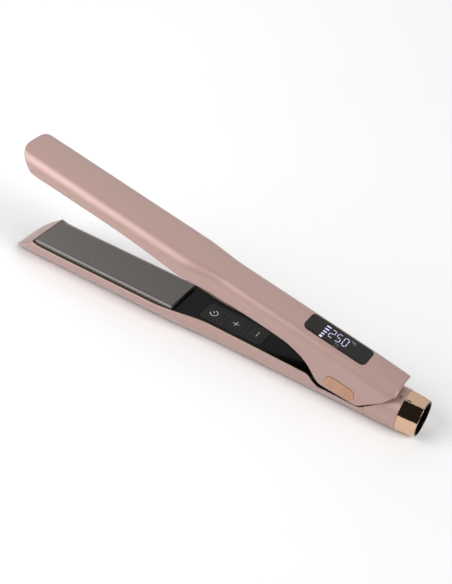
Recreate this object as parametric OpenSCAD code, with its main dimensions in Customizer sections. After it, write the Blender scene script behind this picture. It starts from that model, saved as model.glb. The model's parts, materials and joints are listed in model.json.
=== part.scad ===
// Flat iron: two hinged arms with sprung heating plates, a display in the upper
// arm, three buttons in the lower arm and a lock ring round the cord swivel.
// Arm frame: x from the plates' front end towards the cord, y across,
// z = 0 on the plane where the closed plates meet. h is depth into an arm.

/* [Plates] */
// Length of each heating plate
plate_l = 110; // [104:1:112]
// Width of each heating plate
plate_w = 30; // [28:0.5:30]
// Gap that the closed plates keep from the mating plane
face_gap = 0.1; // [0.05:0.05:0.3]
// How far a plate sinks into its arm
plate_float = 1; // [0.5:0.1:1]

/* [Arms] */
// Width of both arms along the plates
body_w = 35; // [35:0.5:37]
// Width of both arms along the handle
handle_w = 27; // [27:0.5:28]
// Depth of the lower arm below the mating plane
low_d = 18.8; // [18.6:0.1:19.4]
// Depth of the upper arm above the mating plane
up_d = 19.2; // [19:0.1:20.4]
// Wall thickness of both casings
wall = 1.3; // [1.2:0.1:1.4]
// Angle between the open arms
open_angle = 12.4; // [9:0.1:12.4]
// Distance of the hinge pin from the plates' front end
pivot_x = 231; // [230:0.5:232]
// Height of the hinge pin from the mating plane
pivot_z = -0.8; // [-1:0.1:-0.5]
// Radius of the hinge pin
pin_r = 2; // [1.8:0.1:2.2]

/* [Tail and lock] */
// Start of the lock ring
ring_x = 269.2; // [269:0.1:270]
// Rear end of the lock ring
end_x = 282; // [281:0.5:284]
// Radius of the round tail and the lock ring
tail_r = 13.15; // [13:0.05:13.3]
// Turn of the lock ring from open to locked
lock_turn = 40; // [30:5:45]
// Travel of the lock slider
lock_travel = 3; // [2.5:0.5:3.5]
// Radius of the hole for the cord
cord_hole_r = 3.3; // [3:0.1:3.6]

/* [Controls and display] */
// Travel of the buttons
key_travel = 0.4; // [0.2:0.1:0.4]
// Front end of the button panel
panel_x = 127; // [125:1:128]
// Length of the button panel
panel_l = 46; // [44:1:47]
// Width of the button panel
panel_w = 16.6; // [16:0.2:18]
// Front end of the display window
window_x = 193; // [191:1:194]
// Length of the display window
window_l = 44; // [40:1:44]
// Width of the display window
window_w = 16; // [14:0.5:16.5]

/* [Hidden] */
$fn = 64;
eps = 0.01;

rose = [0.76, 0.62, 0.59];
rose_gold = [0.86, 0.64, 0.50];
black = [0.05, 0.05, 0.05];
charcoal = [0.16, 0.16, 0.15];
plate_grey = [0.40, 0.38, 0.37];
steel = [0.72, 0.72, 0.73];
white = [0.90, 0.90, 0.88];
green = [0.10, 0.35, 0.20];

// Casing sections, from the nose to the tail
half_body = body_w / 2;
half_handle = handle_w / 2;
side_pts = 14;      // points on each side of a section
tip_slope = 1.2;    // run of the slanted nose for each unit of depth
low_bulge = 2.5;    // how far the lower nose face swells forward
up_bulge = 1.5;     // how far the upper nose face swells forward
nose_edge = 0.9;    // rounding of the nose face's edge
tip_x = 0.2;        // where the nose face meets the mating plane
tip_blend = 26;     // stretch over which slanted sections turn upright
front_wall = 1.4;   // thickness of the nose wall
tail_end = 269;     // rear end of the lower casing
up_end = 261.5;     // rear end of the upper casing
seam_h = 11.5;      // depth of the seam between lower casing and tail housing
tail_z = tail_r - low_d;
crown_tilt = 1.66;  // the upper casing comes down this much towards the nose
crown_lift = 1.5;   // and stands this much higher at the hinge

// Plates and what is under them, as depths into the arm
edge_r = 2.5;       // rolled long edges of a plate
plate_t = 3;        // thickness of a plate's face
skirt_h = 5.8;      // depth of the two skirts under a plate
skirt_y = 12.3;     // inner side of a skirt
skirt_t = 1.3;      // thickness of a skirt
heater_l = 76;      // length of the ceramic heater
heater_t = 1.7;     // thickness of the ceramic heater
clamp_t = 0.7;      // thickness of the clamp that holds it
clamp_y = 11.1;     // half-width of the clamp
floor_h = 8;        // depth of the carrier's floor
floor_t = 1.2;      // thickness of the carrier's floor
carrier_front = -1.2;
carrier_rear = plate_l + 0.4;
sensor_r = 1.1;
fuse_r = 1.3;

// Hinge and lock
block_y = 9;        // half-width of the hinge block
block_x0 = 216.6;
block_x1 = 246;
block_top = 5.2;
block_bottom = -16.6;
pin_gap = 0.05;     // running clearance of the pin
ear_in = 9.4;       // inner side of a bracket ear
ear_out = 11.4;     // outer side of a bracket ear
ear_r = 5.2;
bridge_z = 13;      // height of the bridge that joins the ears
pocket_y = 5.6;     // half-width of the spring's pocket
coil_r = 3.6;       // middle of the spring's turns
wire_r = 0.6;       // radius of the spring's wire
turns = 7;
slider_w = 5;
slider_z = -10;
slider_t = 2;
slider_x0 = 214.2;
peg_x = 262;
peg_r = 1.2;
hook_x = 210.4;
hook_t = 2.4;
hook_bottom = -11.6;
hook_top = 11;
fit_gap = 0.3;      // clearance between pieces that pass each other
sleeve_r = 11.3;    // outer radius of the lock ring's sleeve
sleeve_in = 9.7;
sleeve_x = 257;
tube_r = 9.4;       // outer radius of the swivel carrier's tube
tube_in = 8.9;
socket_r = 7.2;     // body of the swivel socket
ring_end_r = 11.9;
tail_in = 11.6;     // inner radius of the tail housing
cheek_in = 11.3;    // half-width of the tail inside the cheeks

// Controls
cover_h = 2.9;      // depth of the lower inner cover's face
cover_t = 1.4;
panel_h = 2.7;      // depth of the button panel's face
panel_t = 1.7;
key_w = 12.6;       // width of a button
key_l = 12.4;       // length of a button
key_t = 1.3;
key_x = [134.4, 150.4, 166.4];
key_gap = 0.15;
key_stem = 3.5;     // length of a button's stem
board_h = 9.1;      // depth of the control board's far face
board_t = 1;
up_cover_h = 6.6;   // height of the upper inner cover's face

// Display
lens_t = 1.5;
cap_x = 231;      // middle of the oval hinge caps, arms closed
cap_z = -2.3;
cap_l = 20.5;
cap_w = 8.5;
cap_proud = 0.3;    // how far a cap stands out of its cheek
cap_depth = 1.2;    // how far it reaches into the cheek

// Half-widths, rims and corners as [x, value] along each arm
width_line = [[-30, half_body], [112, half_body], [134, half_handle], [300, half_handle]];
low_rim_line = [[-1, 1], [1, 1.2], [7, 2.6], [101, 2.6], [112, 1.3], [126, 0.9], [168, 1.6],
    [190, 2.1], [208.8, 2.5], [216.9, 9.1], [244.6, 9.1], [247.95, 6.5], [248.05, seam_h], [270, seam_h]];
up_rim_line = [[-1, 5.6], [1, 5.8], [5, 6.3], [16, 6.7], [50, 7], [70, 6.8], [92, 5.6],
    [110, 4.3], [136, 3.8], [160, 4.7], [176, 5], [190, 4.6], [201, 1.9], [207.4, -1.3],
    [213, -5.8], [217.4, -9.1], [222, -9.2], [228, -8.6], [245, -7.1], [258, 7.5], [261.5, 15]];
low_flat_line = [[110, 4.5], [130, 4], [225, 4], [254, 0.3], [270, 0.3]];
low_corner_line = [[110, 16], [130, 13], [225, 13], [254, tail_r], [270, tail_r]];
low_bend_line = [[110, 1.6], [225, 1.6], [254, 2], [270, 2]];
up_flat_line = [[110, 8], [130, 6.2], [264, 6.2]];
up_corner_line = [[110, 11], [130, 8], [264, 8]];
up_bend_line = [[0, 1.8], [264, 1.8]];
up_depth_line = [[100, up_d], [140, up_d - 0.2], [238, up_d - 0.2], [264, up_d - 1]];
low_depth_line = [[0, low_d], [270, low_d]];

// Stations: close where a rim or a width changes, far apart where nothing does
nose_stations = [for (i = [0:8]) tip_x + pow(i / 8, 1.5) * tip_blend];
low_stations = concat(nose_stations, [60, 98, 101], [for (i = [0:13]) 104 + i * 3],
    [160, 190], [for (i = [0:9]) 203 + i * 1.6], [for (i = [0:6]) 225 + i * 3],
    [244.6, 246.2, 247.8, 248.2, 250, 253, 258, tail_end]);
up_stations = concat(nose_stations, [60, 90, 98], [for (i = [0:13]) 104 + i * 3],
    [150, 160, 176, 187], [for (i = [0:17]) 192 + i * 2], [for (i = [0:12]) 230 + i * 2.55],
    [up_end]);

// Placing: the lower arm, the upper arm turned open about the pin, the depth axis
// of either arm, and the upper casing, which is tilted on its plate
mid_x = (end_x + tip_x - nose_run(low_d - nose_edge, low_bulge)) / 2;
module on_lower() translate([-mid_x, 0, low_d]) children();
module about_pin(angle) translate([pivot_x, 0, pivot_z]) rotate([0, angle, 0])
    translate([-pivot_x, 0, -pivot_z]) children();
module in_lower() on_lower() mirror([0, 0, 1]) children();
module in_upper() on_lower() about_pin(open_angle) children();
module in_crown() on_lower() about_pin(open_angle - crown_tilt) translate([0, 0, crown_lift])
    children();
module along_x(x0, length) translate([x0, 0, 0]) rotate([90, 0, 90]) linear_extrude(length) children();
module round_tail(x0, length, r) translate([x0, 0, tail_z]) rotate([0, 90, 0]) cylinder(h = length, r = r);

function soft(x, line, reach = 4) =
    (lookup(x - reach, line) + 2 * lookup(x - reach / 2, line) + 2 * lookup(x, line)
    + 2 * lookup(x + reach / 2, line) + lookup(x + reach, line)) / 8;

// A section is [half-width, flat half-width, depth, corner depth, corner bend, rim depth]
function low_section(x) = [soft(x, width_line, 8), soft(x, low_flat_line), soft(x, low_depth_line),
    soft(x, low_corner_line), soft(x, low_bend_line),
    soft(x, low_rim_line, x < 200 ? 3 : x < 244 ? 1.5 : 0.15)];
function up_section(x) = [soft(x, width_line, 8), soft(x, up_flat_line), soft(x, up_depth_line),
    soft(x, up_corner_line), soft(x, up_bend_line), soft(x, up_rim_line, 3)];
function inset(s, t) = [s[0] - t, s[1], s[2] - t, s[3] - t, s[4], s[5]];

// Half-width of a section at depth h
function side_y(s, h) = let (rise = (h - s[2] + s[3]) / s[3])
    rise <= 0 ? s[0] : s[1] + (s[0] - s[1]) * pow(max(0, 1 - pow(rise, s[4])), 1 / s[4]);
function nose_run(h, bulge) = tip_slope * h + bulge * sin(180 * min(1, max(0, h / low_d)));
function nose_inset(x) = nose_edge * pow(max(0, 1 - (x - tip_x) / 2), 2);
function upright(x) = let (t = min(1, max(0, (x - tip_x) / tip_blend))) 1 - t * t * (3 - 2 * t);
function level(s, i) = s[5] + (s[2] - s[5]) * sin(90 * i / side_pts);
function section_pt(x, s, bulge, i, sign) = let (h = level(s, i))
    [x - upright(x) * nose_run(h, bulge), sign * side_y(s, h), h];
function section_ring(x, s, bulge) = concat(
    [for (i = [0:side_pts]) section_pt(x, s, bulge, i, 1)],
    [for (i = [side_pts:-1:0]) section_pt(x, s, bulge, i, -1)]);

// Casing as one closed skin: outside rings, inside rings, rims, nose wall and open rear end
module casing(outer, inner) {
    n = len(outer[0]);
    m = len(outer);
    k = m * n;
    polyhedron(points = [for (ring = concat(outer, inner)) for (p = ring) p], faces = concat(
        [for (i = [0:n / 2 - 2]) [i, i + 1, n - 2 - i, n - 1 - i]],
        [for (i = [0:n / 2 - 2]) [k + n - 1 - i, k + n - 2 - i, k + i + 1, k + i]],
        [[0, n - 1, k + n - 1, k]],
        [for (j = [0:m - 2]) for (i = [0:n - 2]) each [
            [j * n + i, (j + 1) * n + i, j * n + i + 1],
            [(j + 1) * n + i, (j + 1) * n + i + 1, j * n + i + 1],
            [k + j * n + i, k + j * n + i + 1, k + (j + 1) * n + i],
            [k + (j + 1) * n + i, k + j * n + i + 1, k + (j + 1) * n + i + 1]]],
        [for (j = [0:m - 2]) for (i = [0, n - 1]) each i == 0
            ? [[j * n, k + j * n, (j + 1) * n], [(j + 1) * n, k + j * n, k + (j + 1) * n]]
            : [[j * n + i, (j + 1) * n + i, k + j * n + i],
               [(j + 1) * n + i, k + (j + 1) * n + i, k + j * n + i]]],
        [for (i = [0:n - 2]) each [
            [(m - 1) * n + i, k + (m - 1) * n + i, (m - 1) * n + i + 1],
            [(m - 1) * n + i + 1, k + (m - 1) * n + i, k + (m - 1) * n + i + 1]]]));
}
// Inside the nose the inner rings start behind the nose wall and close up to the outer ones
function behind_wall(x) = x + front_wall * upright(x);
module lower_casing() casing(
    [for (x = low_stations) section_ring(x, inset(low_section(x), nose_inset(x)), low_bulge)],
    [for (x = low_stations) section_ring(behind_wall(x), inset(low_section(x), wall), low_bulge)]);
module upper_casing() casing(
    [for (x = up_stations) section_ring(x, inset(up_section(x), nose_inset(x)), up_bulge)],
    [for (x = up_stations) section_ring(behind_wall(x), inset(up_section(x), wall), up_bulge)]);

// Outline of the space inside a casing at depth h, between two stations
function inner_outline(x0, x1, h, gap, upper = false) = let (
    xs = [for (i = [0:12]) x0 + (x1 - x0) * i / 12],
    ys = [for (x = xs) side_y(inset(upper ? up_section(x) : low_section(x), wall + gap), h)])
    concat([for (i = [0:12]) [xs[i], ys[i]]], [for (i = [12:-1:0]) [xs[i], -ys[i]]]);
module rounded_box(x0, length, width, z0, height, r) translate([x0 + r, 0, z0])
    linear_extrude(height) union() {
        translate([0, -width / 2]) square([length - 2 * r, width]);
        translate([-r, -width / 2 + r]) square([length, width - 2 * r]);
        for (x = [0, length - 2 * r]) for (y = [-1, 1]) translate([x, y * (width / 2 - r)]) circle(r);
    }

module oval(length, width) union() {
    square([length - width, width], center = true);
    for (x = [-1, 1]) translate([x * (length - width) / 2, 0]) circle(width / 2);
}
module cheek_oval(side, gap, inner, depth) translate([cap_x, side * (inner + depth / 2), cap_z])
    rotate([90, 0, 0]) linear_extrude(depth, center = true) oval(cap_l + gap, cap_w + gap);
module window_plan(gap) rounded_box(window_x - gap, window_l + 2 * gap, window_w + 2 * gap,
    up_d - 5, 10, 3.4);

// Casings
module lower_shell() color(rose) in_lower() lower_casing();
module upper_shell() color(rose) in_crown() difference() {
    upper_casing();
    window_plan(0.1);
    for (side = [-1, 1]) cheek_oval(side, 0.2, half_handle - 2.5, 4);
}

// Rear cover of the round tail; its front is cut back so that the cheeks can turn past it
module tail_housing() color(rose) on_lower() difference() {
    round_tail(248, tail_end - 248, tail_r);
    round_tail(246, 30, tail_in);
    translate([240, -20, -30]) cube([40, 40, 30 - seam_h + 0.05]);
    for (side = [-1, 1]) translate([0, side * (cheek_in + 10), 0]) rotate([90, 0, 0])
        translate([0, 0, -10]) linear_extrude(20)
            polygon([[240, -9.2], [244.6, -9.2], [260.1, 3.3], [265.4, 10.4], [265.4, 20], [240, 20]]);
}

// Covers over the handle's inside, with the openings for the button panel and the hook
module screw_cut(x, h, depth) translate([x, 0, h]) {
    translate([0, 0, -eps]) cylinder(h = 0.9 + eps, r = 2);
    cylinder(h = depth, r = 1.05);
}
module screw_shape(x, h, depth) translate([x, 0, h]) difference() {
    union() {
        translate([0, 0, 0.1]) cylinder(h = 0.8, r = 1.8);
        cylinder(h = depth, r = 1);
    }
    translate([-1.2, -0.2, -eps]) cube([2.4, 0.4, 0.5]);
    translate([-0.2, -1.2, -eps]) cube([0.4, 2.4, 0.5]);
}
lower_screws = [118.5, 186];
upper_screws = [120, 198];
module lower_inner_cover() color(black) in_lower() difference() {
    union() {
        translate([0, 0, cover_h]) linear_extrude(cover_t)
            polygon(inner_outline(carrier_rear + 0.1, block_x0 - 0.2, cover_h + cover_t, 0.25));
        for (x = [124.5, 174]) for (y = [-10.2, 10.2]) translate([x, y, cover_h + cover_t - eps])
            cylinder(h = board_h - board_t - cover_h - cover_t + eps, r = 1.3);
        for (x = lower_screws) translate([x, 0, cover_h + cover_t - eps]) cylinder(h = 4, r = 2.4);
    }
    rounded_box(panel_x - 0.1, panel_l + 0.2, panel_w + 0.2, 0, 20, 3);
    translate([206.6, -5.6, 0]) cube([11, 11.2, 20]);
    for (x = lower_screws) screw_cut(x, cover_h, 8);
}
module upper_inner_cover() color(black) in_crown() difference() {
    union() {
        translate([0, 0, up_cover_h]) linear_extrude(cover_t)
            polygon(inner_outline(carrier_rear + 0.6, 206, up_cover_h + cover_t, 0.25, true));
        for (x = upper_screws) translate([x, 0, up_cover_h + cover_t - eps]) cylinder(h = 4, r = 2.4);
    }
    for (x = upper_screws) screw_cut(x, up_cover_h, 8);
}
module lower_cover_screws() color(steel) in_lower() for (x = lower_screws) screw_shape(x, cover_h, 5);
module upper_cover_screws() color(steel) in_crown() for (x = upper_screws) screw_shape(x, up_cover_h, 5);

// Button panel, buttons, switches and board
module control_panel() color(charcoal) in_lower() difference() {
    union() {
        rounded_box(panel_x, panel_l, panel_w, panel_h, panel_t, 2.9);
        rounded_box(panel_x - 1.2, panel_l + 2.4, panel_w + 2.4, cover_h + cover_t, 0.8, 3.5);
    }
    for (x = key_x) rounded_box(x - key_l / 2 - key_gap, key_l + 2 * key_gap, key_w + 2 * key_gap,
        0, 20, 2);
}
module key(x) in_lower() union() {
    rounded_box(x - key_l / 2, key_l, key_w, panel_h, key_t, 1.85);
    translate([x, 0, panel_h + key_t - eps]) cylinder(h = key_stem - key_t + eps, r = 1.5);
}
module power_button() color(charcoal) key(key_x[0]);
module plus_button() color(charcoal) key(key_x[1]);
module minus_button() color(charcoal) key(key_x[2]);
module tact_switches() color(steel) in_lower() for (x = key_x) union() {
    translate([x - 2.6, -2.6, board_h - board_t - 0.7]) cube([5.2, 5.2, 0.7]);
    translate([x, 0, panel_h + key_stem + key_travel + 0.05]) cylinder(
        h = board_h - board_t - 0.7 - panel_h - key_stem - key_travel - 0.05 + eps, r = 1);
}
module control_board() color(green) in_lower()
    translate([122, -11, board_h - board_t]) cube([56, 22, board_t]);
module board_components() color(black) in_lower() {
    translate([130, -4, board_h]) cube([8, 8, 1.4]);
    translate([146, -6, board_h]) cube([9, 6, 3]);
    for (x = [160, 167]) translate([x, 3, board_h]) cylinder(h = 6, r = 2.5);
    translate([171, -6.5, board_h]) cube([5, 5, 4]);
}

// Heating plate and everything under it, the same in both arms
module plate() difference() {
    union() {
        along_x(0, plate_l) translate([edge_r - plate_w / 2, face_gap])
            square([plate_w - 2 * edge_r, plate_t]);
        for (side = [-1, 1]) {
            along_x(0, plate_l) translate([side * (plate_w / 2 - edge_r), face_gap + edge_r]) circle(edge_r);
            along_x(0, plate_l) translate([side * (skirt_y + skirt_t / 2) - skirt_t / 2, plate_t / 2])
                square([skirt_t, skirt_h - plate_t / 2]);
        }
    }
    translate([plate_l - 1.5, -20, skirt_h - 1.2]) cube([4, 40, 4]);
}
module heater() translate([(plate_l - heater_l) / 2 - 4, -5.5, plate_t + face_gap])
    cube([heater_l, 11, heater_t]);
module heater_clamp() translate([(plate_l - heater_l) / 2 - 6, 0, plate_t + face_gap + heater_t])
    difference() {
        translate([0, -clamp_y, 0]) cube([heater_l + 4, 2 * clamp_y, clamp_t]);
        for (x = [10:14:heater_l]) translate([x, 0, -1]) cylinder(h = 3, r = 2);
    }
module temperature_sensor() translate([94, 4, plate_t + face_gap + sensor_r]) rotate([0, 90, 0])
    cylinder(h = 8, r = sensor_r);
module thermal_fuse() translate([93, -4.6, plate_t + face_gap + fuse_r]) rotate([0, 90, 0])
    cylinder(h = 10, r = fuse_r);
module cushions() for (x = [10, 92]) for (y = [-1, 1])
    translate([x, y * 8.6 - 2.5, face_gap + plate_t + heater_t + clamp_t])
        cube([8, 5, floor_h - face_gap - plate_t - heater_t - clamp_t]);
module carrier() difference() {
    along_x(carrier_front, carrier_rear - carrier_front) polygon([[-15.9, 2.9], [-15.6, 5],
        [-13.2, floor_h + floor_t], [13.2, floor_h + floor_t], [15.6, 5], [15.9, 2.9], [15.3, 2.9],
        [15.2, 4.8], [13.9, 6.9], [13, floor_h], [-13, floor_h], [-13.9, 6.9], [-15.2, 4.8],
        [-15.3, 2.9]]);
    for (y = [-3, 3]) translate([99, y, 0]) cylinder(h = 20, r = 1);
}

module lower_plate() color(plate_grey) in_lower() plate();
module upper_plate() color(plate_grey) in_upper() plate();
module lower_heater() color(white) in_lower() heater();
module upper_heater() color(white) in_upper() heater();
module lower_heater_clamp() color(steel) in_lower() heater_clamp();
module upper_heater_clamp() color(steel) in_upper() heater_clamp();
module lower_temperature_sensor() color(steel) in_lower() temperature_sensor();
module upper_temperature_sensor() color(steel) in_upper() temperature_sensor();
module lower_thermal_fuse() color(white) in_lower() thermal_fuse();
module upper_thermal_fuse() color(white) in_upper() thermal_fuse();
module lower_cushions() color("darkred") in_lower() cushions();
module upper_cushions() color("darkred") in_upper() cushions();
module lower_carrier() color(black) in_lower() carrier();
module upper_carrier() color(black) in_upper() carrier();
module lower_leads() color(white) in_lower() for (y = [-3, 3])
    translate([98, y, floor_h + floor_t + 0.7]) rotate([0, 90, 0]) cylinder(h = 26, r = 0.6);
module supply_leads() color(black) on_lower() for (y = [-3, 3])
    translate([177, y, -12.7]) rotate([0, 90, 0]) cylinder(h = 86, r = 0.9);

// Hinge: a block in the lower arm, a bracket in the upper arm, a pin and a spring
module hinge_housing() color(black) on_lower() difference() {
    union() {
        along_x(block_x0, block_x1 - block_x0) polygon([[-block_y, pivot_z], [-block_y, -11.8],
            [-4.5, block_bottom], [4.5, block_bottom], [block_y, -11.8], [block_y, pivot_z]]);
        translate([pivot_x, block_y, pivot_z]) rotate([90, 0, 0])
            cylinder(h = 2 * block_y, r = block_top - pivot_z);
    }
    translate([block_x0 - 1, -block_y - 1, 0.6]) cube([pivot_x - 6.8 - block_x0 + 1, 30, 10]);
    translate([pivot_x, block_y + 1, pivot_z]) rotate([90, 0, 0])
        cylinder(h = 2 * block_y + 2, r = pin_r + pin_gap);
    translate([pivot_x, pocket_y, pivot_z]) rotate([90, 0, 0]) cylinder(h = 2 * pocket_y, r = 4.9);
    translate([pivot_x - 3, -pocket_y, pivot_z]) cube([12, 2 * pocket_y, 12]);
    translate([block_x0 - 1, -slider_w / 2 - fit_gap, slider_z - fit_gap])
        cube([40, slider_w + 2 * fit_gap, slider_t + 2 * fit_gap]);
    for (y = [-3, 3]) translate([block_x0 - 1, y - 1.2, -14]) cube([40, 2.4, 2.6]);
    for (y = [-6.8, 6.8]) translate([224, y, block_bottom]) cylinder(h = 9, r = 1.25);
}
module housing_screws() color(steel) on_lower() for (y = [-6.8, 6.8])
    translate([224, y, -14.4]) cylinder(h = 6, r = 1.2);
module hinge_pin() color(steel) on_lower() translate([pivot_x, ear_out, pivot_z]) rotate([90, 0, 0])
    cylinder(h = 2 * ear_out, r = pin_r);
module hinge_spring() color(steel) on_lower() translate([pivot_x, 0, pivot_z]) rotate([90, 0, 0]) union() {
    for (i = [0:turns - 1]) translate([0, 0, (i - (turns - 1) / 2) * 2 * wire_r])
        rotate_extrude() translate([coil_r, 0]) circle(wire_r + eps, $fn = 24);
    for (side = [-1, 1]) translate([side * coil_r, 0, side * (turns - 1) * wire_r])
        rotate([-90, 0, 0]) cylinder(h = side > 0 ? 8 : 2.4, r = wire_r, $fn = 24);
}
module upper_bracket() color(steel) in_upper() union() {
    for (side = [-1, 1]) translate([0, side * (ear_in + ear_out) / 2, 0]) rotate([90, 0, 0])
        translate([0, 0, (ear_in - ear_out) / 2]) linear_extrude(ear_out - ear_in) difference() {
            union() {
                translate([pivot_x, pivot_z]) circle(ear_r);
                translate([pivot_x - ear_r, pivot_z]) square([2 * ear_r, bridge_z - pivot_z]);
            }
            translate([pivot_x, pivot_z]) circle(pin_r + 0.02);
        }
    translate([pivot_x - ear_r, -ear_in - eps, bridge_z - 1.4])
        cube([2 * ear_r, 2 * ear_in + 2 * eps, 1.4]);
    translate([pivot_x + 2.6, -4, bridge_z - eps]) cube([ear_r - 2.6, 8, 5.4]);
}

// Lock: the ring turns, its slanted slot moves the slider, the slider enters the hook
module slot_along() for (i = [0:8]) rotate([-lock_turn * i / 8, 0, 0])
    translate([peg_x - lock_travel * i / 8, 0, -20]) cylinder(h = 14, r = peg_r + 0.2);
module lock_ring() color(rose_gold) on_lower() translate([0, 0, tail_z]) difference() {
    rotate([0, 90, 0]) rotate_extrude($fn = 96) polygon([[sleeve_in, sleeve_x], [sleeve_r, sleeve_x],
        [sleeve_r, ring_x], [tail_r, ring_x], [tail_r - 0.3, ring_x + 4.5],
        [(tail_r + ring_end_r) / 2, ring_x + 8.5], [ring_end_r, end_x - 0.3],
        [ring_end_r - 0.3, end_x], [ring_end_r - 1, end_x], [10.4, end_x - 1.5], [10.4, ring_x + 1],
        [sleeve_in, ring_x + 1]]);
    slot_along();
}
module lock_slider() color(steel) on_lower() union() {
    translate([slider_x0, -slider_w / 2, slider_z]) cube([peg_x + 1.6 - slider_x0, slider_w, slider_t]);
    translate([peg_x, 0, tail_z - sleeve_r + 0.4]) cylinder(h = slider_z - tail_z + sleeve_r, r = peg_r);
}
module lock_hook() color(black) in_upper() difference() {
    union() {
        translate([hook_x, -4.8, hook_bottom]) cube([hook_t, 9.6, hook_top - hook_bottom]);
        translate([hook_x - 6, -6, hook_top - 1.8]) cube([10, 12, 1.8]);
    }
    translate([hook_x - 1, -slider_w / 2 - 0.4, slider_z - 0.5])
        cube([hook_t + 2, slider_w + 0.8, slider_t + 1.1]);
}

// Cord swivel: a fixed tube inside the tail and the socket that turns in it
module swivel_carrier() color(black) on_lower() difference() {
    union() {
        round_tail(250, 18.6, tube_r);
        round_tail(250, 5, tail_in - 0.1);
    }
    round_tail(249, 17, tube_in);
    round_tail(249, 22, socket_r + 0.1);
    translate([247, -peg_r - 0.4, -30]) cube([17, 2 * peg_r + 0.8, 30 + slider_z + 1]);
    translate([247, -slider_w / 2 - fit_gap, slider_z - fit_gap])
        cube([18, slider_w + 2 * fit_gap, slider_t + 2 * fit_gap]);
}
module swivel_socket() color(black) on_lower() difference() {
    union() {
        round_tail(264.2, 1.6, tube_in - 0.1);
        round_tail(264.2, 14, socket_r);
        round_tail(271, 7.5, 9.9);
    }
    round_tail(263, 20, cord_hole_r);
    translate([277.2, 0, tail_z]) rotate([0, 90, 0])
        cylinder(h = 2, r1 = cord_hole_r, r2 = cord_hole_r + 2);
}

// Display in the upper arm
function crown_half(s, h0) = [for (i = [0:side_pts])
    let (h = h0 + (s[2] - h0) * sin(90 * i / side_pts)) [side_y(s, h), h]];
function flip(pts) = [for (i = [len(pts) - 1:-1:0]) pts[i]];
function mirrored(pts) = [for (p = pts) [-p[0], p[1]]];
module display_window() color([0.12, 0.12, 0.11]) in_crown() intersection() {
    s = up_section(window_x + window_l / 2);
    outside = crown_half(s, 12);
    inside = crown_half(inset(s, lens_t), 12);
    along_x(window_x - 1, window_l + 2)
        polygon(concat(mirrored(outside), flip(outside), inside, flip(mirrored(inside))));
    window_plan(0);
}
module display_module() color(black) in_crown()
    translate([window_x + 3, -6.2, 13.4]) cube([36, 12.4, up_d - 16.2]);
module display_board() color(green) in_crown() translate([window_x, -8.6, 12.4]) cube([40, 17.2, 1]);
module near_hinge_cap() color(rose_gold) in_crown()
    cheek_oval(-1, 0, half_handle - cap_depth, cap_depth + cap_proud);
module far_hinge_cap() color(rose_gold) in_crown()
    cheek_oval(1, 0, half_handle - cap_depth, cap_depth + cap_proud);

lower_shell();
tail_housing();
lower_inner_cover();
lower_cover_screws();
control_panel();
power_button();
plus_button();
minus_button();
tact_switches();
control_board();
board_components();
lower_carrier();
lower_plate();
lower_heater();
lower_heater_clamp();
lower_temperature_sensor();
lower_thermal_fuse();
lower_cushions();
lower_leads();
supply_leads();
hinge_housing();
housing_screws();
hinge_pin();
hinge_spring();
lock_slider();
lock_ring();
swivel_carrier();
swivel_socket();
upper_shell();
upper_inner_cover();
upper_cover_screws();
upper_bracket();
lock_hook();
display_window();
display_module();
display_board();
near_hinge_cap();
far_hinge_cap();
upper_carrier();
upper_plate();
upper_heater();
upper_heater_clamp();
upper_temperature_sensor();
upper_thermal_fuse();
upper_cushions();
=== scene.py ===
"""Looks of the flat iron: smooth casings, marks, materials, studio and camera."""
import json
import math

import bmesh
import bpy
import numpy as np
from mathutils import Matrix, Vector


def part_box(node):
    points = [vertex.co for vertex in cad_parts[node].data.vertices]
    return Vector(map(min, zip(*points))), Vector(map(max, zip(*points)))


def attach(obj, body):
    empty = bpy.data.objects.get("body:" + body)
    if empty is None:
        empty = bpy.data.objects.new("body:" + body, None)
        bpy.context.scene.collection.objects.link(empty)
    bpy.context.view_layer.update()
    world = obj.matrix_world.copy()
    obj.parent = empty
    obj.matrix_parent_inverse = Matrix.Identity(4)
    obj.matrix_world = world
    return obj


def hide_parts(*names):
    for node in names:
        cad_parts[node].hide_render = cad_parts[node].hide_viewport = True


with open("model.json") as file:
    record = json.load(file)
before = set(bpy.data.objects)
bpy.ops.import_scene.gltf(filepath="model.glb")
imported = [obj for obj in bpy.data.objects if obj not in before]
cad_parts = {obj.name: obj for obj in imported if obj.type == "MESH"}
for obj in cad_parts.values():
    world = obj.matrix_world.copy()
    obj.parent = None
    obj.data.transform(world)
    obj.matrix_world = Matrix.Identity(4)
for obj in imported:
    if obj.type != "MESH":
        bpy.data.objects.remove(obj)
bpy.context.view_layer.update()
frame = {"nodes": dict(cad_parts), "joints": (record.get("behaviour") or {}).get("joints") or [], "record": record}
nodes = frame["nodes"]

MM = 0.001

# ---------------------------------------------------------------- places
# Arm frame in mm: x from the plates' front end to the cord, y across,
# z = 0 on the plane where the closed plates meet, h = depth into an arm.
LOW_D = 18.8
UP_D = 19.2
WALL = 1.3
MID_X = -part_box("lower_plate")[0].x / MM
TAIL_Z = -5.65
TAIL_R = 13.15
RING_X = 269.2
HINGE = next(j for j in frame["joints"] if j["name"] == "arm_hinge")
OPEN = math.radians(-HINGE["range_deg"][0])
TILT = math.radians(1.66)
LIFT = 1.5
PIN = Vector((HINGE["pos_m"][0] / MM + MID_X, 0, HINGE["pos_m"][2] / MM - LOW_D))

ON_LOWER = Matrix.Scale(MM, 4) @ Matrix.Translation((-MID_X, 0, LOW_D))
IN_LOWER = ON_LOWER @ Matrix.Diagonal((1, 1, -1, 1))


def about_pin(angle):
    return Matrix.Translation(PIN) @ Matrix.Rotation(angle, 4, "Y") @ Matrix.Translation(-PIN)


IN_UPPER = ON_LOWER @ about_pin(OPEN)
IN_CROWN = ON_LOWER @ about_pin(OPEN - TILT) @ Matrix.Translation((0, 0, LIFT))

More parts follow.
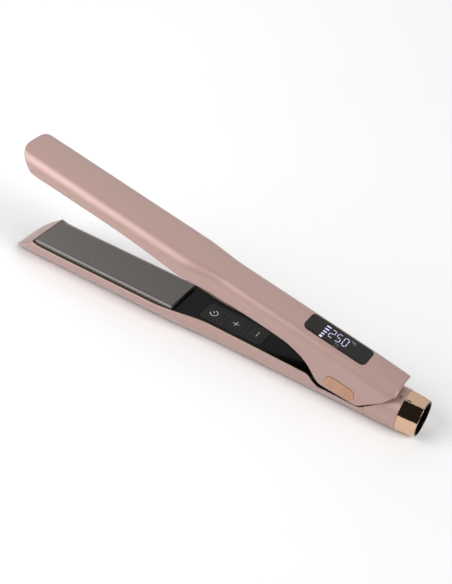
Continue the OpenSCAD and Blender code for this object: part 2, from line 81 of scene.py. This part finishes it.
# ---------------------------------------------------------------- casing sections
HALF_BODY = 17.5
HALF_HANDLE = 13.5
TIP_X = 0.2
TIP_SLOPE = 1.2
TIP_BLEND = 26
FRONT_WALL = 1.4
SEAM_H = 11.5
TAIL_END = 269
UP_END = 261.5

WIDTH = [[-30, HALF_BODY], [112, HALF_BODY], [134, HALF_HANDLE], [300, HALF_HANDLE]]
LOWER = {
    "flat": [[110, 4.5], [130, 4], [225, 4], [254, 0.3], [270, 0.3]],
    "depth": [[0, LOW_D], [270, LOW_D]],
    "corner": [[110, 16], [130, 13], [225, 13], [254, TAIL_R], [270, TAIL_R]],
    "bend": [[110, 1.6], [225, 1.6], [254, 2], [270, 2]],
    "rim": [[-1, 1], [1, 1.2], [7, 2.6], [101, 2.6], [112, 1.3], [126, 0.9], [168, 1.6],
            [190, 2.1], [208.8, 2.5], [216.9, 9.1], [244.6, 9.1], [247.95, 6.5],
            [248.05, SEAM_H], [270, SEAM_H]],
    "bulge": 2.5, "end": TAIL_END, "edge": 1.75,
}
UPPER = {
    "flat": [[105, 3], [130, 3.4], [264, 3.6]],
    "depth": [[100, UP_D], [140, UP_D - 0.2], [238, UP_D - 0.2], [264, UP_D - 1]],
    "corner": [[105, 14], [130, 10], [264, 9.6]],
    "bend": [[105, 2.6], [130, 2.5], [264, 2.4]],
    "rim": [[-1, 9.0], [0.6, 8.0], [2.5, 7.1], [6, 6.6], [16, 6.7], [50, 7], [70, 6.8], [92, 5.6],
            [110, 4.3], [136, 3.8], [160, 4.7], [176, 5], [190, 4.6], [201, 1.9], [207.4, -1.3],
            [213, -5.8], [217.4, -9.1], [222, -9.2], [228, -8.6], [245, -7.1], [258, 7.5],
            [261.5, 15]],
    "bulge": 1.5, "end": UP_END, "edge": 2.2,
}


def soft(x, line, reach):
    """The line's value at x, averaged over a stretch so that its corners come out round."""
    offsets = np.linspace(-1, 1, 17)
    weights = 1 + np.cos(offsets * math.pi * 0.9)
    xs, ys = zip(*line)
    return float(np.average(np.interp(x + offsets * reach, xs, ys), weights=weights))


def section(arm, x, inset=0.0):
    """Half-width, flat half-width, depth, corner depth, corner bend and rim depth at x."""
    rim_reach = 1 if x < 8 else 3 if arm is UPPER or x < 200 else 1.6 if x < 244 else 0.1
    return (soft(x, WIDTH, 9) - inset, soft(x, arm["flat"], 5), soft(x, arm["depth"], 5) - inset,
            soft(x, arm["corner"], 5) - inset, soft(x, arm["bend"], 5),
            soft(x, arm["rim"], rim_reach))


def side_y(s, h):
    """Distance of the surface from the middle at a depth h."""
    half, flat, depth, corner, bend = s[:5]
    rise = (h - depth + corner) / corner
    if rise <= 0:
        return half
    return flat + (half - flat) * max(0.0, 1 - rise ** bend) ** (1 / bend)


def crown_h(s, y):
    """Depth of the surface at a distance y from the middle, near the crown."""
    half, flat, depth, corner, bend = s[:5]
    if abs(y) <= flat:
        return depth
    share = min(1.0, (abs(y) - flat) / (half - flat))
    return depth - corner + corner * (1 - share ** bend) ** (1 / bend)


def upright(x):
    """How far a section still leans with the nose: 1 at the tip, 0 behind the blend."""
    t = min(1.0, max(0.0, (x - TIP_X) / TIP_BLEND))
    return 1 - t * t * (3 - 2 * t)


def nose_run(h, bulge):
    return TIP_SLOPE * h + bulge * math.sin(math.pi * min(1.0, max(0.0, h / LOW_D)))


def nose_inset(arm, x):
    """How far the round edge of the nose draws a section in."""
    d = min(1.0, (x - TIP_X) / arm["edge"])
    return arm["edge"] * (1 - math.sqrt(max(0.0, 1 - (1 - d) ** 2)))


SIDE_STEPS = 26
FLAT_STEPS = 6
LIP_STEPS = 6
EDGE_STEPS = 8
NOSE_STEPS = 14


def half_ring(arm, x, inset, shift, lip):
    """One side of a section, from the rim to the middle of the crown."""
    s = section(arm, x, inset)
    low = s[5] + lip
    pts = []
    for i in range(SIDE_STEPS + 1):
        h = low + (s[2] - low) * math.sin(math.pi / 2 * i / SIDE_STEPS)
        pts.append((h, side_y(s, h)))
    ring = [(x + shift - upright(x) * nose_run(h, arm["bulge"]), y, h) for h, y in pts]
    x_top, y_top, h_top = ring[-1]
    ring += [(x_top, y_top * (1 - (i + 1) / FLAT_STEPS), h_top) for i in range(FLAT_STEPS)]
    return ring


def full_ring(arm, x, inset, shift, lip):
    half = half_ring(arm, x, inset, shift, lip)
    return half + [(px, -py, pz) for px, py, pz in reversed(half[:-1])]


def stations(arm):
    """Places of the sections, closer together where the shape changes quickly."""
    edge = [TIP_X + arm["edge"] * (1 - math.cos(math.pi / 2 * i / EDGE_STEPS))
            for i in range(EDGE_STEPS + 1)]
    xs = edge + list(np.arange(TIP_X + arm["edge"] + 0.8, 30, 1.2))
    xs += list(np.arange(31, 98, 3)) + list(np.arange(98, 150, 1.6))
    xs += list(np.arange(150, 196, 2.4)) + list(np.arange(196, 244, 0.9))
    xs += [244.5, 245.5, 246.5, 247.3, 247.8, 247.95, 248.05, 248.25]
    xs += list(np.arange(249, arm["end"] - 0.5, 0.9))
    return xs + [arm["end"]]


def lip_between(outer, inner, outward):
    """Points of a round lip from an outside point to an inside one, bulging outward."""
    a, b, out = Vector(outer), Vector(inner), Vector(outward).normalized()
    middle, half = (a + b) / 2, (a - b) / 2
    return [middle + half * math.cos(t) + out * half.length * math.sin(t)
            for t in [math.pi * (k + 1) / (LIP_STEPS + 1) for k in range(LIP_STEPS)]]


def add_face(bm, corners, flip):
    bm.faces.new(corners[::-1] if flip else corners)


def round_lip(bm, pairs, outward):
    """A lip over pairs of outside and inside vertices; returns its strips across."""
    strips = [[a] + [bm.verts.new(p) for p in lip_between(a.co, b.co, outward)] + [b]
              for a, b in pairs]
    for p, q in zip(strips, strips[1:]):
        for k in range(LIP_STEPS + 1):
            bm.faces.new([p[k], p[k + 1], q[k + 1], q[k]])
    return strips


def link(name, bm, place):
    """An object in the scene from a mesh drawn in arm millimetres."""
    bmesh.ops.recalc_face_normals(bm, faces=bm.faces)
    mesh = bpy.data.meshes.new(name)
    bm.to_mesh(mesh)
    bm.free()
    mesh.transform(place)
    if place.determinant() < 0:
        mesh.flip_normals()
    obj = bpy.data.objects.new(name, mesh)
    bpy.context.scene.collection.objects.link(obj)
    return obj


def casing(name, arm, place):
    """A thin casing: outside, inside, closed nose, round lips on the rims and rear end."""
    bm = bmesh.new()
    lip = WALL / 2
    xs = stations(arm)
    outer = [[bm.verts.new(p) for p in full_ring(arm, x, nose_inset(arm, x), 0, lip)] for x in xs]
    inner = [[bm.verts.new(p) for p in full_ring(arm, x, WALL, FRONT_WALL * upright(x), lip)]
             for x in xs]
    n = len(outer[0])
    for rings, flip in ((outer, False), (inner, True)):
        for j in range(len(xs) - 1):
            for i in range(n - 1):
                add_face(bm, [rings[j][i], rings[j + 1][i], rings[j + 1][i + 1],
                              rings[j][i + 1]], flip)

    # nose walls, spanned between the two sides of the first rings
    half = (n - 1) // 2
    rows = {}
    for key, ring, flip in (("out", outer[0], False), ("in", inner[0], True)):
        grid = []
        for i in range(half):
            a, b = ring[i], ring[n - 1 - i]
            between = [bm.verts.new(a.co.lerp(b.co, k / NOSE_STEPS)) for k in range(1, NOSE_STEPS)]
            grid.append([a] + between + [b])
        grid.append([ring[half]])
        for i in range(half - 1):
            for k in range(NOSE_STEPS):
                add_face(bm, [grid[i][k], grid[i + 1][k], grid[i + 1][k + 1], grid[i][k + 1]], flip)
        for k in range(NOSE_STEPS):
            add_face(bm, [grid[half - 1][k], grid[half][0], grid[half - 1][k + 1]], flip)
        rows[key] = grid[0]

    # one continuous lip along the rims and across the nose
    path = [(outer[j][0], inner[j][0]) for j in range(len(xs) - 1, 0, -1)]
    path += list(zip(rows["out"], rows["in"]))
    path += [(outer[j][n - 1], inner[j][n - 1]) for j in range(1, len(xs))]
    lips = round_lip(bm, path, (0, 0, -1))
    end = round_lip(bm, zip(outer[-1], inner[-1]), (1, 0, 0))
    for strip in (lips[0], lips[-1], end[0], end[-1]):
        bm.faces.new(strip)

    return link(name, bm, place)


# ---------------------------------------------------------------- mesh helpers
def close_prism(bm, bottom, top):
    m = len(bottom)
    for i in range(m):
        bm.faces.new([bottom[i], bottom[(i + 1) % m], top[(i + 1) % m], top[i]])
    bm.faces.new(top)
    bm.faces.new(bottom[::-1])


def outline_prism(bm, outline, low, high):
    """A closed prism over a plan outline; low and high give its height at (x, y)."""
    bottom = [bm.verts.new((x, y, low(x, y))) for x, y in outline]
    top = [bm.verts.new((x, y, high(x, y))) for x, y in outline]
    close_prism(bm, bottom, top)


def rounded_rect(x0, x1, y0, y1, r, steps=8):
    pts = []
    for cx, cy, start in ((x1 - r, y1 - r, 0), (x0 + r, y1 - r, 90), (x0 + r, y0 + r, 180),
                          (x1 - r, y0 + r, 270)):
        for k in range(steps + 1):
            t = math.radians(start + 90 * k / steps)
            pts.append((cx + r * math.cos(t), cy + r * math.sin(t)))
    return pts


def smooth(obj, angle=40):
    for p in obj.data.polygons:
        p.use_smooth = True
    obj.data.set_sharp_from_angle(angle=math.radians(angle))


def apply_modifiers(obj):
    depsgraph = bpy.context.evaluated_depsgraph_get()
    mesh = bpy.data.meshes.new_from_object(obj.evaluated_get(depsgraph))
    obj.modifiers.clear()
    obj.data = mesh


def cut(obj, cutters):
    for cutter in cutters:
        mod = obj.modifiers.new("cut", "BOOLEAN")
        mod.operation = "DIFFERENCE"
        mod.solver = "EXACT"
        mod.object = cutter
    apply_modifiers(obj)
    for cutter in cutters:
        bpy.data.objects.remove(cutter)


# ---------------------------------------------------------------- materials
class Nodes:
    """Short calls for building a material's node tree."""

    def __init__(self, name):
        self.mat = bpy.data.materials.new(name)
        self.mat.use_nodes = True
        self.tree = self.mat.node_tree
        self.shader = self.tree.nodes["Principled BSDF"]
        self.coords = self.tree.nodes.new("ShaderNodeTexCoord")

    def set(self, **sockets):
        for key, value in sockets.items():
            self.shader.inputs[key.replace("_", " ")].default_value = value
        return self

    def noise(self, scale, detail=4.0, roughness=0.55, stretch=(1, 1, 1)):
        mapping = self.tree.nodes.new("ShaderNodeMapping")
        mapping.inputs["Scale"].default_value = stretch
        node = self.tree.nodes.new("ShaderNodeTexNoise")
        node.inputs["Scale"].default_value = scale
        node.inputs["Detail"].default_value = detail
        node.inputs["Roughness"].default_value = roughness
        self.tree.links.new(self.coords.outputs["Object"], mapping.inputs["Vector"])
        self.tree.links.new(mapping.outputs["Vector"], node.inputs["Vector"])
        return node.outputs["Fac"]

    def flakes(self, scale):
        node = self.tree.nodes.new("ShaderNodeTexVoronoi")
        node.inputs["Scale"].default_value = scale
        self.tree.links.new(self.coords.outputs["Object"], node.inputs["Vector"])
        return node.outputs["Distance"]

    def ramp(self, fac, stops):
        node = self.tree.nodes.new("ShaderNodeValToRGB")
        ramp = node.color_ramp
        ramp.elements[0].position, ramp.elements[0].color = stops[0][0], (*stops[0][1], 1)
        ramp.elements[1].position, ramp.elements[1].color = stops[-1][0], (*stops[-1][1], 1)
        for position, color in stops[1:-1]:
            ramp.elements.new(position).color = (*color, 1)
        self.tree.links.new(fac, node.inputs["Fac"])
        return node.outputs["Color"]

    def color(self, fac, stops):
        self.tree.links.new(self.ramp(fac, stops), self.shader.inputs["Base Color"])
        return self

    def rough(self, fac, low, high):
        node = self.tree.nodes.new("ShaderNodeMapRange")
        node.inputs["From Min"].default_value = 0.3
        node.inputs["From Max"].default_value = 0.7
        node.inputs["To Min"].default_value = low
        node.inputs["To Max"].default_value = high
        self.tree.links.new(fac, node.inputs["Value"])
        self.tree.links.new(node.outputs["Result"], self.shader.inputs["Roughness"])
        return self

    def bump(self, fac, strength, distance):
        node = self.tree.nodes.new("ShaderNodeBump")
        node.inputs["Strength"].default_value = strength
        node.inputs["Distance"].default_value = distance
        self.tree.links.new(fac, node.inputs["Height"])
        self.tree.links.new(node.outputs["Normal"], self.shader.inputs["Normal"])
        return self


def shade(color, amount):
    return tuple(min(1.0, c * amount) for c in color)


def rose_paint():
    n = Nodes("rose_paint").set(Metallic=0.35, Coat_Weight=0.6, Coat_Roughness=0.36)
    base = (0.46, 0.300, 0.268)
    n.color(n.flakes(5200), [(0.0, shade(base, 1.10)), (0.5, base), (1.0, shade(base, 0.9))])
    n.rough(n.noise(160, 3), 0.40, 0.46)
    return n.bump(n.noise(2600, 2), 0.10, 0.00004).mat


def gloss_black():
    n = Nodes("gloss_black").set(Coat_Weight=0.02, Coat_Roughness=0.05, Specular_IOR_Level=0.12)
    n.color(n.noise(60), [(0.3, (0.0022, 0.0024, 0.0022)), (0.7, (0.0034, 0.0036, 0.0032))])
    n.rough(n.noise(240, 5), 0.10, 0.18)
    return n.bump(n.noise(90, 2), 0.06, 0.0001).mat


def matte_plastic(name, color, low=0.5, high=0.62, grain=1800):
    n = Nodes(name).set(Specular_IOR_Level=0.3)
    n.color(n.noise(140), [(0.3, shade(color, 0.85)), (0.7, shade(color, 1.15))])
    n.rough(n.noise(400, 4), low, high)
    return n.bump(n.noise(grain, 3), 0.18, 0.00005).mat


def metal(name, color, low, high, stretch=(1, 1, 1), grain=900, depth=0.00003):
    n = Nodes(name).set(Metallic=1.0)
    n.color(n.noise(180), [(0.3, shade(color, 0.93)), (0.7, shade(color, 1.05))])
    n.rough(n.noise(grain, 5, 0.6, stretch), low, high)
    return n.bump(n.noise(grain, 4, 0.6, stretch), 0.08, depth).mat


def plate_coating():
    n = Nodes("plate_coating").set(Metallic=0.35, Coat_Weight=0.15, Coat_Roughness=0.3)
    base = (0.148, 0.138, 0.130)
    n.color(n.noise(420, 5), [(0.3, shade(base, 0.94)), (0.7, shade(base, 1.06))])
    n.rough(n.noise(700, 5, 0.6, (0.1, 1, 1)), 0.34, 0.42)
    return n.bump(n.noise(1500, 3, 0.5, (0.15, 1, 1)), 0.05, 0.00003).mat


def smoked_window():
    n = Nodes("smoked_window").set(Coat_Weight=0.05, Coat_Roughness=0.12, Specular_IOR_Level=0.25)
    n.color(n.noise(90), [(0.3, (0.008, 0.0083, 0.0078)), (0.7, (0.011, 0.011, 0.0102))])
    return n.rough(n.noise(300, 4), 0.24, 0.32).mat


# radii where the painted shade in the ring's hollow takes over from the polished colour
RING_SHADE_RADII = (11.75, 11.85)


def ring_metal():
    """Polished outside; the hollow nearer the tail's axis is coloured near black as painted shade."""
    n = Nodes("rose_gold_mirror").set(Metallic=1.0)
    apart = n.tree.nodes.new("ShaderNodeVectorMath")
    apart.operation = "SUBTRACT"
    apart.inputs[1].default_value = (0, 0, (LOW_D + TAIL_Z) * MM)
    flat = n.tree.nodes.new("ShaderNodeVectorMath")
    flat.operation = "MULTIPLY"
    flat.inputs[1].default_value = (0, 1, 1)
    radius = n.tree.nodes.new("ShaderNodeVectorMath")
    radius.operation = "LENGTH"
    n.tree.links.new(n.coords.outputs["Object"], apart.inputs[0])
    n.tree.links.new(apart.outputs["Vector"], flat.inputs[0])
    n.tree.links.new(flat.outputs["Vector"], radius.inputs[0])
    edge = n.tree.nodes.new("ShaderNodeMapRange")
    edge.inputs["From Min"].default_value = RING_SHADE_RADII[0] * MM
    edge.inputs["From Max"].default_value = RING_SHADE_RADII[1] * MM
    n.tree.links.new(radius.outputs["Value"], edge.inputs["Value"])
    # painted shade: near black inside the hollow, polished rose gold outside it
    n.color(edge.outputs["Result"], [(0.0, (0.012, 0.009, 0.008)), (1.0, (0.72, 0.48, 0.345))])
    n.rough(n.noise(300, 5), 0.06, 0.10)
    return n.bump(n.noise(300, 4), 0.04, 0.00002).mat


def board():
    n = Nodes("circuit_board").set(Coat_Weight=0.3, Coat_Roughness=0.2)
    green = (0.012, 0.07, 0.03)
    n.color(n.noise(700, 2, 0.4, (1, 3, 1)),
            [(0.42, green), (0.5, (0.02, 0.11, 0.05)), (0.6, green)])
    n.rough(n.noise(300), 0.35, 0.5)
    return n.bump(n.noise(700, 2), 0.2, 0.00005).mat


def braided():
    n = Nodes("lead_sleeve")
    n.color(n.noise(2400, 2, 0.5, (1, 2, 2)),
            [(0.35, (0.6, 0.6, 0.58)), (0.65, (0.85, 0.85, 0.82))])
    n.rough(n.noise(900), 0.6, 0.75)
    return n.bump(n.noise(2400, 2, 0.5, (1, 2, 2)), 0.4, 0.0001).mat


def glow(name, color, strength):
    n = Nodes(name).set(Emission_Strength=strength, Emission_Color=(*color, 1))
    n.color(n.noise(500), [(0.3, shade(color, 0.9)), (0.7, color)])
    return n.rough(n.noise(300), 0.4, 0.5).mat


ROSE = rose_paint()
MATERIALS = {
    "rose_paint": ROSE,
    "gloss_black": gloss_black(),
    "matte_black": matte_plastic("matte_black", (0.016, 0.016, 0.015)),
    "soft_charcoal": matte_plastic("soft_charcoal", (0.020, 0.020, 0.0185), 0.48, 0.58),
    "steel": metal("steel", (0.62, 0.62, 0.63), 0.22, 0.34),
    "clamp_aluminium": metal("clamp_aluminium", (0.72, 0.72, 0.74), 0.3, 0.45, (0.1, 1, 1)),
    "circuit_board": board(),
    "plate_coating": plate_coating(),
    "ceramic_white": matte_plastic("ceramic_white", (0.74, 0.74, 0.71), 0.35, 0.5),
    "red_silicone": matte_plastic("red_silicone", (0.42, 0.045, 0.035), 0.5, 0.65),
    "lead_sleeve": braided(),
    "rose_gold_mirror": ring_metal(),
    "rose_gold_satin": metal("rose_gold_satin", (0.56, 0.32, 0.225), 0.38, 0.46),
    "smoked_window": smoked_window(),
}
BLACK_STEEL = metal("black_steel", (0.035, 0.035, 0.037), 0.3, 0.42)
MARK = matte_plastic("white_mark", (0.86, 0.85, 0.82), 0.4, 0.5)
GLOW = glow("display_glow", (0.58, 0.52, 0.78), 0.6)
DIM_GLOW = glow("display_dim_glow", (0.30, 0.27, 0.37), 0.25)
# painted shade: a dark rose-brown colour standing in for the shade inside the engraved dash on the ring
SHADOW_LINE = matte_plastic("engraved_line_painted_shade", (0.09, 0.05, 0.045), 0.5, 0.6)

slot_of = {p["node"]: p["material_slot"] for p in frame["record"]["subparts"]}
for name, obj in nodes.items():
    material = MATERIALS[slot_of[name]]
    if name in ("lower_cover_screws", "upper_cover_screws"):
        material = BLACK_STEEL
    obj.data.materials.clear()
    obj.data.materials.append(material)

# ---------------------------------------------------------------- softened edges on CAD nodes
BEVELS = {"lock_ring": 0.12, "lower_plate": 0.25, "upper_plate": 0.25, "near_hinge_cap": 0.15,
          "far_hinge_cap": 0.15, "control_panel": 0.15, "power_button": 0.12, "plus_button": 0.12,
          "minus_button": 0.12, "lower_inner_cover": 0.15, "upper_inner_cover": 0.15,
          "display_window": 0.2, "tail_housing": 0.15, "lock_hook": 0.2, "lower_carrier": 0.15,
          "upper_carrier": 0.15, "swivel_socket": 0.15}
for name, width in BEVELS.items():
    obj = nodes[name]
    weld = obj.modifiers.new("weld", "WELD")
    weld.merge_threshold = 0.000002
    bevel = obj.modifiers.new("bevel", "BEVEL")
    bevel.width = width * MM
    bevel.segments = 3
    bevel.limit_method = "ANGLE"
    bevel.angle_limit = math.radians(35)
    obj.modifiers.new("normals", "WEIGHTED_NORMAL").keep_sharp = True


def finish_piece(obj, material, body, replaced=(), angle=40):
    obj.data.materials.clear()
    obj.data.materials.append(material)
    smooth(obj, angle)
    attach(obj, body)
    if replaced:
        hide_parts(*replaced)
    return obj


# ---------------------------------------------------------------- casings
WINDOW = (193, 237, -8, 8, 3.4)
WINDOW_GAP = 0.14
CAP_GAP = 0.16
CAP = {"x": 231, "z": -2.3, "l": 20.5, "w": 8.5}


def window_cutter():
    bm = bmesh.new()
    x0, x1, y0, y1, r = WINDOW
    gap = WINDOW_GAP
    outline_prism(bm, rounded_rect(x0 - gap, x1 + gap, y0 - gap, y1 + gap, r + gap, 12),
                  lambda x, y: UP_D - 6, lambda x, y: UP_D + 5)
    return link("window_cutter", bm, IN_CROWN)


def cap_cutter(side):
    bm = bmesh.new()
    gap, r = CAP_GAP, CAP["w"] / 2
    pts = rounded_rect(-CAP["l"] / 2 - gap, CAP["l"] / 2 + gap, -r - gap, r + gap,
                       r + gap - 0.01, 16)
    outline_prism(bm, pts, lambda x, y: HALF_HANDLE - 4, lambda x, y: HALF_HANDLE + 4)
    turn = Matrix(((1, 0, 0, CAP["x"]), (0, 0, side, 0), (0, 1, 0, CAP["z"]), (0, 0, 0, 1)))
    return link("cap_cutter", bm, IN_CROWN @ turn)


upper = casing("upper_casing", UPPER, IN_CROWN)
cut(upper, [window_cutter(), cap_cutter(-1), cap_cutter(1)])
finish_piece(upper, ROSE, "upper_arm", ["upper_shell"])
lower = casing("lower_casing", LOWER, IN_LOWER)
finish_piece(lower, ROSE, "lower_arm", ["lower_shell"])


# ---------------------------------------------------------------- display marks
WINDOW_SECTION = (HALF_HANDLE, 6.2, UP_D - 0.2, 8, 1.8)


def on_crown(lift):
    def height(x, y):
        return crown_h(WINDOW_SECTION, y) + lift
    return height


def flat_marks(name, outlines, material, body, place, low, high):
    bm = bmesh.new()
    for outline in outlines:
        outline_prism(bm, outline, low, high)
    return finish_piece(link(name, bm, place), material, body, angle=30)


DIGIT_W, DIGIT_H, STROKE, CUT = 3.3, 7.7, 0.42, 0.3
SEGMENTS = {"2": "abged", "5": "afgcd", "0": "abcdef"}


def segment(x, y, length, across):
    """A seven-segment bar with pointed ends; across is True for the level ones."""
    half, t = length / 2 - CUT, STROKE / 2
    pts = [(-half, 0), (-half + t, -t), (half - t, -t), (half, 0), (half - t, t), (-half + t, t)]
    return [(x + px, y + py) if across else (x + py, y + px) for px, py in pts]


def digit(char, x0, y0):
    w, h = DIGIT_W - STROKE, (DIGIT_H - STROKE) / 2
    left, right = x0 + STROKE / 2, x0 + STROKE / 2 + w
    base = y0 + STROKE / 2
    spots = {"d": (x0 + DIGIT_W / 2, base, w, True), "g": (x0 + DIGIT_W / 2, base + h, w, True),
             "a": (x0 + DIGIT_W / 2, base + 2 * h, w, True), "e": (left, base + h / 2, h, False),
             "c": (right, base + h / 2, h, False), "f": (left, base + 1.5 * h, h, False),
             "b": (right, base + 1.5 * h, h, False)}
    return [segment(*spots[k]) for k in SEGMENTS[char]]


def box_outline(x0, x1, y0, y1):
    return rounded_rect(x0, x1, y0, y1, 0.15, 3)


MARK_LOW, MARK_HIGH = on_crown(-0.05), on_crown(0.05)
DIGIT_X = (208.4, 213.1, 217.8)
DIGIT_Y = -3.6
digits = [s for char, x in zip("250", DIGIT_X) for s in digit(char, x, DIGIT_Y)]
BAR_X = 204.4
BARS = ((3.9, 3.1, 0.5), (1.1, 2.8, 0.5), (-1.6, 2.5, 0.5), (-4.2, 2.1, 0.5), (-6.7, 1.9, 0.7))
bars = [box_outline(BAR_X, BAR_X + length, y - half, y + half) for y, length, half in BARS]


def display_marks(name, outlines, material):
    flat_marks(name, outlines, material, "upper_arm", IN_CROWN,
               MARK_LOW, MARK_HIGH)


display_marks("display_digits", digits, GLOW)
display_marks("display_level_bars", bars, GLOW)


def slanted(x, y0, y1, lean, width=0.32):
    return [(x, y0), (x + width, y0), (x + lean + width, y1), (x + lean, y1)]


def ring_outlines(cx, cy, r, width, start, stop, steps=14):
    """Quads along an arc, in degrees."""
    out = []
    angles = [math.radians(start + (stop - start) * k / steps) for k in range(steps + 1)]
    for a, b in zip(angles, angles[1:]):
        out.append([(cx + q * math.cos(t), cy + q * math.sin(t))
                    for q, t in ((r, a), (r + width, a), (r + width, b), (r, b))])
    return out


heat = [slanted(214.9 + 1.05 * k, -7.6, -5.3, 0.35) for k in range(3)]
degree = (ring_outlines(222.6, 4.3, 0.35, 0.22, 0, 360)
          + ring_outlines(224.6, 3.7, 0.75, 0.3, 50, 310))
display_marks("display_small_marks", heat + degree, DIM_GLOW)

# ---------------------------------------------------------------- marks on the buttons
BUTTON_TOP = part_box("power_button")[1].z / MM - LOW_D


def button_center(name):
    low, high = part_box(name)
    return (low.x + high.x) / 2 / MM + MID_X


def button_marks(name, body, outlines):
    flat_marks(name, outlines, MARK, body, ON_LOWER,
               lambda x, y: BUTTON_TOP - 0.05, lambda x, y: BUTTON_TOP + 0.04)


def bar_mark(cx, cy, length_x, length_y):
    return box_outline(cx - length_x / 2, cx + length_x / 2, cy - length_y / 2, cy + length_y / 2)


power_x = button_center("power_button")
plus_x = button_center("plus_button")
minus_x = button_center("minus_button")
POWER_R, LINE, PLUS = 2.3, 0.5, 4.6
POWER_STROKE = ((-1.2, 1.0), (-0.8, 1.35), (0.5, 0.05), (0.1, -0.3))
power = ring_outlines(power_x - 0.6, 0, POWER_R, LINE, -170, 95, 26)
power.append([(power_x - 0.9 + px, 0.3 + py) for px, py in POWER_STROKE])
button_marks("power_mark", "power_button", power)
ARM = PLUS / 2 - LINE / 2
button_marks("plus_mark", "plus_button",
             [bar_mark(plus_x, 0, LINE, PLUS), bar_mark(plus_x - PLUS / 4 - LINE / 4, 0, ARM, LINE),
              bar_mark(plus_x + PLUS / 4 + LINE / 4, 0, ARM, LINE)])
button_marks("minus_mark", "minus_button", [bar_mark(minus_x, 0, LINE, PLUS)])


# ---------------------------------------------------------------- lock marks
def round_patch(name, outlines, radius, body, material, lift=0.05):
    """Plan outlines in (x, angle in degrees) wrapped round the tail's axis."""
    bm = bmesh.new()
    for outline in outlines:
        rings = []
        for r in (radius - lift, radius + lift):
            ring = []
            for x, angle in outline:
                t = math.radians(angle)
                ring.append(bm.verts.new((x, -r * math.sin(t), TAIL_Z + r * math.cos(t))))
            rings.append(ring)
        close_prism(bm, *rings)
    return finish_piece(link(name, bm, ON_LOWER), material, body, angle=30)


LOCK_ANGLE = 20
ICON_X = 265.6
DASH_START, DASH_END, DASH_HALF = RING_X + 1.0, RING_X + 4.0, 1.6
dash = [[(DASH_START, LOCK_ANGLE - DASH_HALF), (DASH_END, LOCK_ANGLE - DASH_HALF),
         (DASH_END, LOCK_ANGLE + DASH_HALF), (DASH_START, LOCK_ANGLE + DASH_HALF)]]
# the ring's dash is drawn as a painted shade line, not as a cut groove
round_patch("ring_dash", dash, TAIL_R - 0.1, "lock_ring", SHADOW_LINE, 0.12)


def lock_icon(x, angle):
    deg = 1 / (TAIL_R * math.radians(1))
    body = [(x, angle - 1.1 * deg), (x + 1.7, angle - 1.1 * deg), (x + 1.7, angle + 1.1 * deg),
            (x, angle + 1.1 * deg)]
    shackle = [[(x - (q - x), angle + (a - angle) * deg) for q, a in quad]
               for quad in ring_outlines(x, angle, 0.62, 0.25, -90, 90, 10)]
    return [body] + shackle


round_patch("lock_icon", lock_icon(ICON_X, LOCK_ANGLE), TAIL_R, "lower_arm",
            matte_plastic("lock_icon_print", (0.22, 0.13, 0.12)))

# ---------------------------------------------------------------- stage, light and camera
FLOOR = 6
FLOOR_GAP = 0.0002
floor_mesh = bpy.data.meshes.new("floor")
floor_mesh.from_pydata([(-FLOOR, -FLOOR, 0), (FLOOR, -FLOOR, 0), (FLOOR, FLOOR, 0),
                        (-FLOOR, FLOOR, 0)], [], [(0, 1, 2, 3)])
floor = bpy.data.objects.new("floor", floor_mesh)
bpy.context.scene.collection.objects.link(floor)
floor.location.z = -FLOOR_GAP
floor_look = Nodes("floor").set(Specular_IOR_Level=0.2)
floor_look.color(floor_look.noise(3), [(0.3, (0.93, 0.93, 0.93)), (0.7, (0.95, 0.95, 0.95))])
floor_look.rough(floor_look.noise(20), 0.7, 0.8)
floor.data.materials.append(floor_look.mat)

world = bpy.data.worlds.new("studio")
world.use_nodes = True
background = world.node_tree.nodes["Background"]
background.inputs["Color"].default_value = (1, 0.985, 0.975, 1)
background.inputs["Strength"].default_value = 0.02
bpy.context.scene.world = world
bpy.context.scene.view_settings.view_transform = "Standard"


LIGHT_CENTRE = Vector((0, 0, 0.03))


def aim(obj, direction):
    obj.rotation_euler = (-direction).to_track_quat("-Z", "Y").to_euler()
    bpy.context.scene.collection.objects.link(obj)


def softbox(name, direction, distance, size, radiance, color=(1, 1, 1)):
    """A rectangular light of even radiance, facing the middle of the part."""
    light = bpy.data.lights.new(name, "AREA")
    light.shape = "RECTANGLE"
    light.size, light.size_y = size
    light.energy = radiance * size[0] * size[1] * math.pi
    light.color = color
    obj = bpy.data.objects.new(name, light)
    away = Vector(direction).normalized()
    obj.location = LIGHT_CENTRE + away * distance
    aim(obj, away)


def far_light(name, direction, strength, spread):
    light = bpy.data.lights.new(name, "SUN")
    light.energy = strength
    light.angle = math.radians(spread)
    aim(bpy.data.objects.new(name, light), Vector(direction).normalized())


softbox("back_card", (-0.3, 0.60, 0.74), 1.6, (2.4, 3.0), 0.72)
softbox("front_card", (-0.50, -0.66, 0.58), 1.55, (1.2, 1.15), 4.3)
far_light("right_fill", (0.75, -0.15, 0.64), 2.2, 40)

CAMERA_AXES = ((0.8466, 0.5190, 0.1183), (-0.4034, 0.4805, 0.7788), (0.3473, -0.7070, 0.6161))
CAMERA_PLACE = (0.24943, -0.4880, 0.4620)
camera_data = bpy.data.cameras.new("camera")
camera_data.lens = 67.8
camera_data.sensor_width = 36
camera_data.clip_start = 0.01
camera = bpy.data.objects.new("camera", camera_data)
bpy.context.scene.collection.objects.link(camera)
camera.matrix_world = (Matrix.Translation(CAMERA_PLACE)
                       @ Matrix(CAMERA_AXES).transposed().to_4x4())
bpy.context.scene.camera = camera
